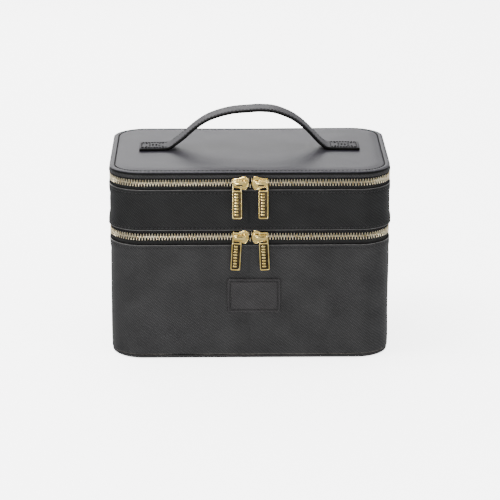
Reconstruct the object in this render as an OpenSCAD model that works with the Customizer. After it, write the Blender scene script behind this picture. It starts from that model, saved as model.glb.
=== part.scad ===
// Two-tier vanity train case with zipped lid, zipped upper tray and strap handle.
// Millimetres, +Z up, +Y towards the hinged back, origin on the floor under the middle of the body.

/* [Body] */
// Width of the case over its walls
case_w = 257; // [230:1:300]
// Depth of the case over its walls
case_d = 163; // [140:1:200]
// Plan radius of the vertical corners, at the walls
corner_r = 30; // [24:1:36]
// Thickness of the outer leather
leather_t = 1.2; // [0.8:0.1:1.5]
// Thickness of the stiffening board in the walls
board_t = 2.4; // [2:0.1:3]
// Thickness of the inner lining
lining_t = 0.8; // [0.5:0.1:1.2]
// How far the hems beside the zips stand out from the walls
hem_out = 1.05; // [0.9:0.05:1.4]

/* [Heights] */
// Height of the trim around the base
trim_h = 4; // [3:0.5:6]
// Top edge of the lower case's leather
lower_top = 110.2; // [90:0.1:125]
// Height of the upper tier's leather
tier_h = 38.3; // [34:0.1:50]
// Height of the leather strip around the lid's edge
lid_edge_h = 3.9; // [2.2:0.1:6]
// Rise of the padded lid above its edge
lid_crown = 2.4; // [0.5:0.1:4]

/* [Zips] */
// Distance between teeth along one row
tooth_pitch = 2.6; // [2.5:0.05:3]
// Width of one tooth along the row
tooth_w = 1.15; // [0.9:0.05:1.2]
// Thickness of a tooth through the tape
tooth_t = 2.6; // [2:0.1:2.8]
// Width of the closed chain
chain_w = 6; // [5.6:0.1:6.4]
// Thickness of the zip tape
tape_t = 0.6; // [0.4:0.1:0.6]
// How far round the rear corners the teeth run, in degrees
zip_end_angle = 60; // [30:5:70]

/* [Sliders] */
// Length of a slider
slider_l = 14.7; // [13:0.1:18]
// Width of a slider across its nose
slider_w = 12.4; // [11:0.1:12.4]
// Distance of each pull's post from the middle of the front
post_x = 12; // [11:0.5:13]
// Length of a pull below its post
pull_l = 32.6; // [28:0.1:40]
// Width of a pull
pull_w = 9.2; // [8:0.1:11]

/* [Handle] */
// Length of the strap over both sewn ends
handle_l = 206; // [180:1:215]
// Distance between the feet of the arch
handle_span = 144; // [130:1:150]
// Rise of the arch above the lid
handle_rise = 35; // [34:0.5:44]
// Width of the strap
strap_w = 24; // [18:1:30]
// Thickness of the strap
strap_t = 2.6; // [1.8:0.1:3]

/* [Patch] */
// Width of the leather patch on the front
patch_w = 49.4; // [30:0.1:80]
// Height of the patch
patch_h = 33; // [20:0.1:50]
// Height of the patch's centre above the floor
patch_z = 61.6; // [40:0.1:80]
// Sideways offset of the patch from the middle
patch_x = 3.4; // [-20:0.1:20]

/* [Inside] */
// Height of the padded dividers
divider_h = 84; // [50:1:90]
// Thickness of the padded dividers
divider_t = 4; // [3:0.5:8]
// Width of the mirror glass
mirror_w = 186; // [120:1:190]
// Depth of the mirror glass
mirror_d = 104; // [70:1:120]
// Distance of the long divider's face behind the middle
divider_y = 12; // [0:1:30]

/* [Hidden] */
$fn = 64;
sx = case_w / 2 - corner_r;          // half of the straight front
sy = case_d / 2 - corner_r;          // half of the straight sides
wall_in = -leather_t;                // offsets from the wall line, outward positive
board_in = wall_in - board_t;
lining_in = board_in - lining_t;
zip_off = -0.5;                      // middle of the tape
low_zip = lower_top + 7.9;           // heights of the two chains
tier_z0 = low_zip + 6.3;
tier_z1 = tier_z0 + tier_h;
up_zip = tier_z1 + 6.5;
lid_z0 = up_zip + 4.5;
lid_z1 = lid_z0 + lid_edge_h;        // underside of the top panel
lid_z2 = lid_z1 + 0.9 + lid_crown;   // top of the padded lid
hinge_y = case_d / 2 + hem_out + 0.05;
arc_l = PI / 2 * corner_r;
row_l = sx + arc_l + 2 * sy + PI * corner_r * zip_end_angle / 180;
teeth_n = floor(row_l / tooth_pitch);
head = 0.4;                          // how far each tooth passes the chain's middle
part_gap = 1.45;                     // how far each row is parted at a slider's nose
nose_x = 1.3;                        // gap between a slider's nose and the middle
tail_x = nose_x + slider_l;
plate_y0 = 1.25;                     // inner face of a slider's front plate
plate_t = 1.1;
pull_y0 = plate_y0 + plate_t + 0.4;
pull_t = 1.6;
floor_z = trim_h + 1.2;
cavity_x = case_w / 2 + lining_in;
cavity_y = case_d / 2 + lining_in;

black = [0.13, 0.13, 0.14];
charcoal = [0.2, 0.19, 0.2];
lining_grey = [0.32, 0.31, 0.32];
card = [0.55, 0.47, 0.36];
gold = [0.83, 0.74, 0.56];

// ---------- plan shapes ----------

// The case's plan, grown outward by g
module plan(g = 0) {
    r = corner_r + g;
    square([case_w + 2 * g - 2 * r, case_d + 2 * g], center = true);
    square([case_w + 2 * g, case_d + 2 * g - 2 * r], center = true);
    for (x = [-1, 1], y = [-1, 1]) translate([x * sx, y * sy]) circle(r);
}

module slab(g, z0, z1) translate([0, 0, z0]) linear_extrude(z1 - z0) plan(g);

module ring(g_out, g_in, z0, z1)
    translate([0, 0, z0]) linear_extrude(z1 - z0) difference() {
        plan(g_out);
        plan(g_in);
    }

// A straight run of a profile. The profile's x is the offset from the wall line and its y is Z.
module run(half, dist) translate([dist, half, 0]) rotate([90, 0, 0]) linear_extrude(2 * half) children();

module front_run() rotate([0, 0, -90]) run(sx, case_d / 2) children();

// A run round the corner at [x, y], from angle a through b degrees
module turn(x, y, a, b)
    translate([x, y, 0]) rotate([0, 0, a]) rotate_extrude(angle = b) translate([corner_r, 0]) children();

// A profile swept all the way round the case
module around() {
    front_run() children();
    rotate([0, 0, 180]) front_run() children();
    for (t = [0, 180]) rotate([0, 0, t]) {
        run(sy, case_w / 2) children();
        turn(sx, -sy, -90, 90) children();
        turn(sx, sy, 0, 90) children();
    }
}

// A profile swept round the front and sides and b degrees into the rear corners
module three_sides(b) {
    front_run() children();
    for (m = [0, 1]) mirror([m, 0, 0]) {
        run(sy, case_w / 2) children();
        turn(sx, -sy, -90, 90) children();
        turn(sx, sy, 0, b) children();
    }
}

// Places children at distance s along the zip from the middle of the front, local +X outward
module at_zip(s) {
    a = abs(s);
    b = a - sx;
    c = b - arc_l;
    d = c - 2 * sy;
    mirror([s < 0 ? 1 : 0, 0, 0])
    if (b <= 0) translate([a, -case_d / 2, 0]) rotate([0, 0, -90]) children();
    else if (c <= 0) translate([sx, -sy, 0]) rotate([0, 0, b / corner_r * 180 / PI - 90])
        translate([corner_r, 0, 0]) children();
    else if (d <= 0) translate([case_w / 2, c - sy, 0]) children();
    else translate([sx, sy, 0]) rotate([0, 0, d / corner_r * 180 / PI])
        translate([corner_r, 0, 0]) children();
}

// ---------- walls ----------

// Wall leather from z0 to z1, flared out to the hems beside the zips
module leather_profile(z0, z1, flare_low, flare_high) {
    low = flare_low ? [[hem_out, z0], [hem_out, z0 + 6.3], [0, z0 + 14.3]] : [[0, z0]];
    high = flare_high ? [[0, z1 - 14], [hem_out, z1 - 6], [hem_out, z1]] : [[0, z1]];
    outer = concat(low, high);
    inner = [for (i = [len(outer) - 1 : -1 : 0]) [outer[i].x - leather_t, outer[i].y]];
    polygon(concat(outer, inner));
}

module lower_leather_shell() color(black) around() leather_profile(trim_h, lower_top, false, true);

module tier_leather_shell() color(black) around() leather_profile(tier_z0, tier_z1, true, true);

module lower_wall_board() color(card) ring(wall_in, board_in, trim_h, lower_top - 0.3);

module tier_wall_board() color(card) ring(wall_in, board_in, tier_z0 + 0.5, tier_z1 - 0.4);

// A lining cup with its floor at z0
module lining_cup(z0, z1) color(lining_grey) {
    slab(board_in, z0, z0 + lining_t);
    ring(board_in, lining_in, z0 + lining_t, z1);
}

module lower_lining() lining_cup(floor_z, lower_top - 0.3);

module tray_lining() lining_cup(tier_z0 + 2.9, tier_z1 - 0.4);

module tray_floor_board() color(card) slab(board_in, tier_z0 + 0.5, tier_z0 + 2.9);

module tier_underside_lining() color(lining_grey) slab(wall_in, tier_z0 - 0.3, tier_z0 + 0.5);

// ---------- base ----------

module base_panel() color(black) slab(board_in, 0, 2.4);

module lower_floor_board() color(card) slab(board_in, 2.4, floor_z);

module base_trim() color(black) around() union() {
    translate([board_in, 0]) square([2.6, trim_h]);
    translate([-1.7, 0.3]) square([1.4, trim_h - 0.3]);
    translate([-1.7, trim_h / 2 + 0.15]) circle(trim_h / 2 - 0.15);
}

module front_patch() color(charcoal)
    translate([patch_x, -case_d / 2, patch_z]) rotate([90, 0, 0]) linear_extrude(1.4)
        for (a = [0, 1]) {
            square([patch_w - 6 * a, patch_h - 6 * (1 - a)], center = true);
            for (x = [-1, 1], y = [-1, 1])
                translate([x * (patch_w / 2 - 3), y * (patch_h / 2 - 3)]) circle(3);
        }

// ---------- dividers ----------

module divider(x0, x1, y0, y1) color(lining_grey)
    translate([x0, y0, floor_z + lining_t]) cube([x1 - x0, y1 - y0, divider_h]);

module long_divider() divider(-cavity_x + 0.3, cavity_x - 0.3, divider_y, divider_y + divider_t);

module front_divider(x) divider(x - divider_t / 2, x + divider_t / 2, -cavity_y + 0.3, divider_y - 0.3);

module front_left_divider() front_divider(-42);
module front_right_divider() front_divider(42);

module rear_divider()
    divider(-divider_t / 2, divider_t / 2, divider_y + divider_t + 0.3, cavity_y - 0.3);

// ---------- zips ----------

// One half of a zip tape, from the chain at z to the hem at z_far. up is 1 above the chain, -1 below.
// Past the last tooth the tape reaches in to the chain's middle.
module zip_tape(z, z_far, up) color(black) difference() {
    union() {
        three_sides(90) tape_profile(z + up * chain_w / 2, z_far);
        for (m = [0, 1]) mirror([m, 0, 0]) turn(sx, sy, zip_end_angle + 2, 88 - zip_end_angle)
            tape_profile(z + up * 0.2, z + up * (chain_w / 2 + 0.5), tape_t - 0.1);
    }
    // the parted stretch between the two sliders
    translate([0, -case_d / 2 - zip_off, z + up * (chain_w / 2 + part_gap / 2)])
        cube([22, 4, part_gap], center = true);
}

module tape_profile(z_a, z_b, t = tape_t)
    translate([zip_off - t / 2, min(z_a, z_b)]) square([t, abs(z_b - z_a)]);

// How far a row is parted at distance s from the middle
function parted(s) = part_gap * min(1, max(0, (10.4 - abs(s)) / 3.2));

// One tooth, with its head at the chain's middle and its body on the tape
module tooth(up) translate([zip_off, tooth_w / 2, 0]) rotate([90, 0, 0]) linear_extrude(tooth_w)
    polygon([[-tooth_t / 2, up * chain_w / 2], [tooth_t / 2, up * chain_w / 2],
        [tooth_t / 2, up * 0.9], [tooth_t / 4, -up * head], [-tooth_t / 4, -up * head],
        [-tooth_t / 2, up * 0.9]]);

module zip_teeth(z, up) color(gold) {
    shift = up > 0 ? 0.5 : 0;
    for (i = [-teeth_n : teeth_n - 2 * shift]) {
        s = (i + shift) * tooth_pitch;
        at_zip(s) translate([0, 0, z + up * parted(s)]) tooth(up);
    }
}

module lower_zip_bottom_tape() zip_tape(low_zip, lower_top - 6, -1);
module lower_zip_bottom_teeth() zip_teeth(low_zip, -1);
module lower_zip_top_tape() zip_tape(low_zip, tier_z0 + 6, 1);
module lower_zip_top_teeth() zip_teeth(low_zip, 1);
module upper_zip_bottom_tape() zip_tape(up_zip, tier_z1 - 6, -1);
module upper_zip_bottom_teeth() zip_teeth(up_zip, -1);
module upper_zip_top_tape() zip_tape(up_zip, lid_z1 - 0.2, 1);
module upper_zip_top_teeth() zip_teeth(up_zip, 1);

// ---------- sliders and pulls, drawn for the right-hand side ----------

module slider(z) color(gold) translate([0, -case_d / 2, z]) rotate([90, 0, 0]) {
    h = slider_w / 2;
    // front plate with its diamond nose
    translate([0, 0, plate_y0]) linear_extrude(plate_t)
        polygon([[nose_x, 2.2], [nose_x + 2.3, h], [nose_x + 5.6, h], [nose_x + 9.2, 4.5],
            [tail_x - 0.8, 4.3], [tail_x, 3.5], [tail_x, -3.5], [tail_x - 0.8, -4.3],
            [nose_x + 9.2, -4.5], [nose_x + 5.6, -h], [nose_x + 2.3, -h], [nose_x, -2.2]]);
    // back plate
    translate([0, 0, -3.2]) linear_extrude(plate_t)
        polygon([[nose_x, 2.2], [nose_x + 1.6, 4.25], [tail_x, 4.25],
            [tail_x, -4.25], [nose_x + 1.6, -4.25], [nose_x, -2.2]]);
    // wedge that parts the rows and joins the plates
    translate([0, 0, -3.2]) linear_extrude(plate_y0 + plate_t + 3.2)
        polygon([[nose_x + 0.3, 1], [nose_x + 4.2, 1], [nose_x + 6.3, 0.2],
            [nose_x + 6.3, -0.2], [nose_x + 4.2, -1], [nose_x + 0.3, -1]]);
    // flanges over and under the closed chain, with the slit for the tape between them
    for (s = [-1, 1]) translate([nose_x + 9, s * 3.8 - 0.45, 0]) {
        translate([0, 0, zip_off + 0.5]) cube([slider_l - 9, 0.9, plate_y0 - zip_off]);
        translate([0, 0, -2.6]) cube([slider_l - 9, 0.9, 1.6]);
    }
    // post that the pull hangs on
    translate([post_x, 0, plate_y0]) cylinder(h = pull_t + plate_t + 0.8, r = 1.3);
    // hood over the pull's eye, and the neck that carries it
    translate([nose_x + 1.7, -2.6, plate_y0 + plate_t - 0.1])
        cube([2.9, 5.2, pull_y0 + pull_t - plate_y0 - plate_t + 0.4]);
    translate([0, 0, pull_y0 + pull_t + 0.25]) linear_extrude(0.8)
        polygon([[nose_x + 1.7, 2.2], [nose_x + 3.2, 3.5], [tail_x - 1.6, 3.5], [tail_x, 2],
            [tail_x, -2], [tail_x - 1.6, -3.5], [nose_x + 3.2, -3.5], [nose_x + 1.7, -2.2]]);
}

// A pull: side bars round the post, then a plate with a raised rim round a plain panel
module pull(z) color(gold) translate([post_x, -case_d / 2 - pull_y0, z]) rotate([90, 0, 0])
    difference() {
        linear_extrude(pull_t) {
            translate([-pull_w / 2, 1.2 - pull_l]) square([pull_w, pull_l + 1.2]);
            translate([-pull_w / 2 + 1.2, -pull_l]) square([pull_w - 2.4, pull_l + 3.6]);
            for (x = [-1, 1], y = [1.2 - pull_l, 2.4])
                translate([x * (pull_w / 2 - 1.2), y]) circle(1.2);
        }
        // window for the post
        translate([-2.9, -7.2, -1]) cube([5.8, 7.2, pull_t + 2]);
        translate([0, 0, -1]) cylinder(h = pull_t + 2, r = 1.36);
        // recessed panel on the front
        translate([-pull_w / 2 + 1.3, -pull_l + 1.5, pull_t - 0.5])
            cube([pull_w - 2.6, pull_l - 10.1, 2]);
    }

module lower_right_slider() slider(low_zip);
module lower_left_slider() mirror([1, 0, 0]) slider(low_zip);
module upper_right_slider() slider(up_zip);
module upper_left_slider() mirror([1, 0, 0]) slider(up_zip);
module lower_right_pull() pull(low_zip);
module lower_left_pull() mirror([1, 0, 0]) pull(low_zip);
module upper_right_pull() pull(up_zip);
module upper_left_pull() mirror([1, 0, 0]) pull(up_zip);

// ---------- rear hinge strips ----------

module hinge_strip(z0, z1) color(black)
    translate([-sx, hinge_y, z0]) cube([2 * sx, 0.9, z1 - z0]);

module tier_hinge_strip() hinge_strip(lower_top - 5.5, tier_z0 + 5.5);

module lid_hinge_strip() hinge_strip(tier_z1 - 5.5, lid_z1);

// ---------- lid ----------

module lid_edge_strip() color(black) ring(hem_out, hem_out - leather_t, lid_z0, lid_z1);

module lid_piping() color(black) around() translate([hem_out - 0.75, lid_z1 + 0.75]) circle(0.75);

module lid_board() color(card) slab(-0.95, lid_z0 + 0.6, lid_z1);

module lid_lining() color(lining_grey) slab(-0.95, lid_z0, lid_z0 + 0.6);

// Padded top: a level middle with sides that fall away to the piping
module lid_top_panel() color(charcoal) {
    slab(-14, lid_z1, lid_z2);
    around() polygon([[-14, lid_z1], [-0.5, lid_z1], [-0.5, lid_z1 + 0.9],
        [-3, lid_z1 + 0.9 + 0.4 * lid_crown], [-8, lid_z1 + 0.9 + 0.8 * lid_crown], [-14, lid_z2]]);
}

module mirror_frame() color(charcoal) difference() {
    translate([-mirror_w / 2 - 5, -mirror_d / 2 - 5, lid_z0 - 2]) cube([mirror_w + 10, mirror_d + 10, 2]);
    translate([-mirror_w / 2 - 0.1, -mirror_d / 2 - 0.1, lid_z0 - 3])
        cube([mirror_w + 0.2, mirror_d + 0.2, 4]);
}

module mirror_glass() color("lightgray")
    translate([-mirror_w / 2, -mirror_d / 2, lid_z0 - 1.6]) cube([mirror_w, mirror_d, 1.6]);

// ---------- handle ----------

foot_a = 46;                        // slope of the arch's legs
mid_r = 8;                          // centreline radius of the bend at each foot
leg_l = (handle_rise - mid_r * (1 - cos(foot_a))
    - (handle_span / 2 - mid_r * sin(foot_a)) * tan(foot_a / 2))
    / (sin(foot_a) - cos(foot_a) * tan(foot_a / 2));
top_r = (handle_span / 2 - mid_r * sin(foot_a) - leg_l * cos(foot_a)) / sin(foot_a);

// Left half of the strap's centreline as [x, z, slope]
half_line = concat([[-handle_l / 2, 0, 0]],
    [for (i = [0 : 8]) let (a = foot_a * i / 8)
        [-handle_span / 2 + mid_r * sin(a), mid_r * (1 - cos(a)), a]],
    [for (i = [0 : 12]) let (a = foot_a * (1 - i / 12))
        [-top_r * sin(a), handle_rise - top_r * (1 - cos(a)), a]]);
n_half = len(half_line);
centreline = concat(half_line, [for (i = [n_half - 2 : -1 : 0])
    [-half_line[i].x, half_line[i].y, -half_line[i].z]]);

function beside(p, d) = [p.x - d * sin(p.z), p.y + d * cos(p.z)];

module handle_strap() color(charcoal)
    translate([0, strap_w / 2, lid_z2 + strap_t / 2]) rotate([90, 0, 0]) linear_extrude(strap_w)
        polygon(concat([for (p = centreline) beside(p, strap_t / 2)],
            [for (i = [len(centreline) - 1 : -1 : 0]) beside(centreline[i], -strap_t / 2)]));

base_trim();
base_panel();
lower_floor_board();
lower_wall_board();
lower_leather_shell();
lower_lining();
front_patch();
lower_zip_bottom_tape();
lower_zip_bottom_teeth();
long_divider();
front_left_divider();
front_right_divider();
rear_divider();
tier_hinge_strip();
tier_leather_shell();
tier_wall_board();
tray_floor_board();
tray_lining();
tier_underside_lining();
lower_zip_top_tape();
lower_zip_top_teeth();
upper_zip_bottom_tape();
upper_zip_bottom_teeth();
lid_hinge_strip();
lid_top_panel();
lid_piping();
lid_edge_strip();
lid_board();
lid_lining();
mirror_frame();
mirror_glass();
upper_zip_top_tape();
upper_zip_top_teeth();
handle_strap();
lower_left_slider();
lower_right_slider();
upper_left_slider();
upper_right_slider();
lower_left_pull();
lower_right_pull();
upper_left_pull();
upper_right_pull();
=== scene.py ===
import bpy, bmesh, math, random
from mathutils import Vector, Matrix, noise


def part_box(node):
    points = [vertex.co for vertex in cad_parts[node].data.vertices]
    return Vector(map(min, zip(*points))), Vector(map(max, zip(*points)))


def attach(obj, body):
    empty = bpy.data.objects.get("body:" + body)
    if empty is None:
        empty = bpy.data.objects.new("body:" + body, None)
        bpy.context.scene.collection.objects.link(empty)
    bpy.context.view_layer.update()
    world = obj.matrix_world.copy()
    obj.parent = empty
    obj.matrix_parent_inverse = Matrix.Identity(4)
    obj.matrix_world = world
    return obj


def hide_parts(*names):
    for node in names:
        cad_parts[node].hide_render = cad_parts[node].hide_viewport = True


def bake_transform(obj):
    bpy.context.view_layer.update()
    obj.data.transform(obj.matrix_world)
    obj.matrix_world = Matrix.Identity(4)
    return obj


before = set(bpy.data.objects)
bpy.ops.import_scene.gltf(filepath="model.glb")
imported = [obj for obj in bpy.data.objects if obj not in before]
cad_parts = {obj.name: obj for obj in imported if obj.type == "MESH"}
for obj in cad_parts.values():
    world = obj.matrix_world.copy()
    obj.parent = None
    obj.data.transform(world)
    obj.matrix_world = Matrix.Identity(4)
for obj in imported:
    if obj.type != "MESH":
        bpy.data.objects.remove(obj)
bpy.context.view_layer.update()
random.seed(7)
M = 0.001  # lengths below are millimetres

# ---------- plan of the case, from the CAD ----------

wall_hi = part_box("lower_wall_board")[1]
HX = wall_hi.x / M + 1.2           # wall line, half width and half depth
HY = wall_hi.y / M + 1.2
R = 30.0
SX, SY = HX - R, HY - R
QA = math.pi / 2 * R
LOOP = 4 * SX + 4 * SY + 4 * QA
LOW_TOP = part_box("lower_leather_shell")[1].z / M
TIER0, TIER1 = (v.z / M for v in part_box("tier_leather_shell"))
LID0, LID1 = (v.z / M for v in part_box("lid_edge_strip"))
LID2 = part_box("lid_top_panel")[1].z / M
LOW_ZIP = (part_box("lower_zip_top_teeth")[0].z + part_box("lower_zip_bottom_teeth")[1].z) / 2 / M
UP_ZIP = (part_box("upper_zip_top_teeth")[0].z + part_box("upper_zip_bottom_teeth")[1].z) / 2 / M
HEM = 1.05                         # how far a folded hem stands out from the wall line


def at(s):
    """Point on the wall line at distance s from the middle of the front, and its outward normal."""
    s = (s + SX) % LOOP
    for line, x, y, a in ((1, -SX, -HY, -90), (0, SX, -SY, -90), (2, HX, -SY, 0), (0, SX, SY, 0),
                          (1, SX, HY, 90), (0, -SX, SY, 90), (2, -HX, SY, 180), (0, -SX, -SY, 180)):
        length = (QA, 2 * SX, 2 * SY)[line]
        if s <= length:
            break
        s -= length
    if line:
        n = math.radians(a)
        t = (-math.sin(n), math.cos(n))
        return x + t[0] * s, y + t[1] * s, math.cos(n), math.sin(n)
    n = math.radians(a) + s / R
    return x + R * math.cos(n), y + R * math.sin(n), math.cos(n), math.sin(n)


def inset(x, y):
    """Distance inward from the wall line."""
    qx, qy = abs(x) - SX, abs(y) - SY
    return -(math.hypot(max(qx, 0), max(qy, 0)) + min(max(qx, qy), 0) - R)


# ---------- mesh helpers ----------

def make(name, verts, faces, mat, body=None, uvs=None, smooth=True, node=None):
    """A mesh from points in millimetres, riding on a body and standing for CAD nodes."""
    me = bpy.data.meshes.new(name)
    me.from_pydata([(x * M, y * M, z * M) for x, y, z in verts], [], faces)
    if uvs:
        layer = me.uv_layers.new(name="surf")
        for loop in me.loops:
            layer.data[loop.index].uv = uvs[loop.vertex_index]
    me.polygons.foreach_set("use_smooth", [smooth] * len(me.polygons))
    me.materials.append(mat)
    me.update()
    ob = bpy.data.objects.new(name, me)
    bpy.context.scene.collection.objects.link(ob)
    if body:
        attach(ob, body)
    if node:
        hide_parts(*([node] if isinstance(node, str) else node))
    return ob


def bevel(ob, width, segments=2, angle=35):
    m = ob.modifiers.new("edges", "BEVEL")
    m.width, m.segments = width * M, segments
    m.limit_method, m.angle_limit = "ANGLE", math.radians(angle)
    m.harden_normals = True
    return ob


def sweep(name, profile, mat, body=None, node=None, s0=None, s1=None, step=2.6, wob=None):
    """A closed profile of (offset, z) swept along the wall line, all round or from s0 to s1."""
    loop = s0 is None
    a, b = (0, LOOP) if loop else (s0, s1)
    n = max(2, round((b - a) / step))
    k = len(profile)
    run, v = [0.0], 0.0
    for p, q in zip(profile, profile[1:]):
        v += math.dist(p, q)
        run.append(v)
    verts, uvs, faces = [], [], []
    for i in range(n if loop else n + 1):
        s = a + (b - a) * i / n
        x, y, nx, ny = at(s)
        for j, (g, z) in enumerate(profile):
            if wob:
                dg, dz = wob(s, g, z)
                g, z = g + dg, z + dz
            verts.append((x + nx * g, y + ny * g, z))
            uvs.append((s, run[j]))
    rows = n if loop else n + 1
    for i in range(rows if loop else n):
        for j in range(k):
            c, d = i * k, (i + 1) % rows * k
            faces.append((c + j, d + j, d + (j + 1) % k, c + (j + 1) % k))
    if not loop:
        faces += [tuple(range(k - 1, -1, -1)), tuple(range(n * k, n * k + k))]
    ob = make(name, verts, faces, mat, body, uvs, node=node)
    fix_normals(ob)
    return ob


def ellipse(cx, cz, rx, rz, n):
    """Points round an ellipse."""
    turns = [2 * math.pi * i / n for i in range(n)]
    return [(cx + rx * math.cos(a), cz + rz * math.sin(a)) for a in turns]


def slab_faces(nx, nz):
    """Faces of a slab whose two sides are grids of nx by nz squares, one after the other."""
    row, k = nx + 1, (nx + 1) * (nz + 1)
    faces = []
    for i in range(nz):
        for j in range(nx):
            a = i * row + j
            q = (a, a + 1, a + row + 1, a + row)
            faces += [q, tuple(v + k for v in reversed(q))]
    rim = list(range(row))
    rim += [i * row + nx for i in range(1, nz + 1)]
    rim += [nz * row + j for j in range(nx - 1, -1, -1)]
    rim += [i * row for i in range(nz - 1, 0, -1)]
    return faces + [(a, b, b + k, a + k) for a, b in zip(rim, rim[1:] + rim[:1])]


def fix_normals(ob):
    bm = bmesh.new()
    bm.from_mesh(ob.data)
    bmesh.ops.recalc_face_normals(bm, faces=bm.faces)
    bm.to_mesh(ob.data)
    bm.free()


def tube(points, radius, sides=8, closed=False):
    """Verts and faces of a tube along points."""
    verts, faces = [], []
    pts = [Vector(p) for p in points]
    n = len(pts)
    for i, p in enumerate(pts):
        a = pts[i - 1] if closed or i else p
        b = pts[(i + 1) % n] if closed or i < n - 1 else p
        t = (b - a).normalized()
        u = t.cross(Vector((0.13, 0.21, 1))).normalized()
        w = t.cross(u)
        for j in range(sides):
            c = 2 * math.pi * j / sides
            verts.append(tuple(p + radius * (math.cos(c) * u + math.sin(c) * w)))
    for i in range(n if closed else n - 1):
        c, d = i * sides, (i + 1) % n * sides
        for j in range(sides):
            faces.append((c + j, c + (j + 1) % sides, d + (j + 1) % sides, d + j))
    if not closed:
        faces += [tuple(range(sides - 1, -1, -1)), tuple(range((n - 1) * sides, n * sides))]
    return verts, faces


def stitches(name, seats, body, mat, length=2.5, r=0.34, lift=0.12, slant=0.1):
    """One thread stitch per seat. A seat is (point, tangent, normal)."""
    verts, faces = [], []
    for p, t, n in seats:
        t, n = Vector(t).normalized(), Vector(n).normalized()
        side = n.cross(t)
        t = (t + slant * side).normalized()
        side = n.cross(t)
        base = len(verts)
        rings = ((-0.5, 0.0, -0.5), (-0.44, 0.6, -0.15), (-0.2, 1.0, 0.0), (0.2, 1.0, 0.0),
                 (0.44, 0.6, -0.15), (0.5, 0.0, -0.5))
        for f, w, dip in rings:
            c = Vector(p) + t * (f * length) + n * (lift + dip * r)
            if w == 0:
                verts.append(tuple(c))
                continue
            for j in range(6):
                a = math.pi * j / 3
                verts.append(tuple(c + side * (math.cos(a) * r * w) + n * (math.sin(a) * r * w)))
        ring = lambda i: base + 1 + 6 * (i - 1)
        for j in range(6):
            k = (j + 1) % 6
            faces.append((base, ring(1) + k, ring(1) + j))
            for i in (1, 2, 3):
                faces.append((ring(i) + j, ring(i) + k, ring(i + 1) + k, ring(i + 1) + j))
            faces.append((ring(4) + j, ring(4) + k, ring(5)))
    ob = make(name, verts, faces, mat, body)
    fix_normals(ob)
    return ob


def wall_seats(shape, z, pitch=3.4):
    """Stitch seats all round a wall of the given shape at height z."""
    out = []
    n = round(LOOP / pitch)
    for i in range(n):
        s = LOOP * (i + 0.5) / n
        x, y, nx, ny = at(s)
        g, h = shape(s, 0, z)
        out.append(((x + nx * g, y + ny * g, h), (-ny, nx, 0), (nx, ny, 0)))
    return out


# ---------- materials ----------

def material(name, color, rough=0.5, metal=0.0, **sockets):
    m = bpy.data.materials.new(name)
    m.use_nodes = True
    nt = m.node_tree
    b = nt.nodes["Principled BSDF"]
    b.inputs["Base Color"].default_value = (*color, 1)
    b.inputs["Roughness"].default_value = rough
    b.inputs["Metallic"].default_value = metal
    for k, v in sockets.items():
        b.inputs[k.replace("_", " ")].default_value = v
    return m, nt, b


def node(nt, kind, **values):
    n = nt.nodes.new(kind)
    for k, v in values.items():
        if hasattr(n, k):
            setattr(n, k, v)
        else:
            n.inputs[k.replace("_", " ")].default_value = v
    return n


def mapped(nt, source, rotation=0.0, scale=(1, 1, 1)):
    m = nt.nodes.new("ShaderNodeMapping")
    m.inputs["Rotation"].default_value = (0, 0, math.radians(rotation))
    m.inputs["Scale"].default_value = scale
    nt.links.new(source, m.inputs["Vector"])
    return m.outputs[0]


def math_node(nt, op, a, b):
    n = nt.nodes.new("ShaderNodeMath")
    n.operation = op
    for i, v in enumerate((a, b)):
        if isinstance(v, (int, float)):
            n.inputs[i].default_value = v
        else:
            nt.links.new(v, n.inputs[i])
    return n.outputs[0]


def surface(nt, uv):
    """Coordinates in millimetres: along and across the surface, or the object's own."""
    if uv:
        return node(nt, "ShaderNodeUVMap", uv_map="surf").outputs[0]
    tc = nt.nodes.new("ShaderNodeTexCoord")
    return mapped(nt, tc.outputs["Object"], 0, (1000, 1000, 1000))


def vary(nt, b, coords, low, high, scale, rough):
    """Colour and roughness that drift a little over the surface."""
    n = node(nt, "ShaderNodeTexNoise", Scale=scale, Detail=4.0)
    nt.links.new(coords, n.inputs["Vector"])
    ramp = nt.nodes.new("ShaderNodeValToRGB")
    ramp.color_ramp.elements[0].position, ramp.color_ramp.elements[1].position = 0.3, 0.7
    ramp.color_ramp.elements[0].color, ramp.color_ramp.elements[1].color = (*low, 1), (*high, 1)
    nt.links.new(n.outputs["Fac"], ramp.inputs["Fac"])
    nt.links.new(ramp.outputs[0], b.inputs["Base Color"])
    r = node(nt, "ShaderNodeMapRange", To_Min=rough[0], To_Max=rough[1])
    nt.links.new(n.outputs["Fac"], r.inputs["Value"])
    nt.links.new(r.outputs[0], b.inputs["Roughness"])
    return n, ramp


def bump(nt, b, height, strength, distance):
    n = node(nt, "ShaderNodeBump", Strength=strength, Distance=distance * M)
    nt.links.new(height, n.inputs["Height"])
    nt.links.new(n.outputs[0], b.inputs["Normal"])
    return n


def wave(nt, coords, angle, period, distortion):
    """Bands one period apart, turned by an angle."""
    n = node(nt, "ShaderNodeTexWave", Scale=2 * math.pi / (20 * period), Distortion=distortion,
             Detail=1.0, Detail_Scale=1.5)
    nt.links.new(mapped(nt, coords, angle), n.inputs["Vector"])
    return n.outputs["Fac"]


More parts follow.
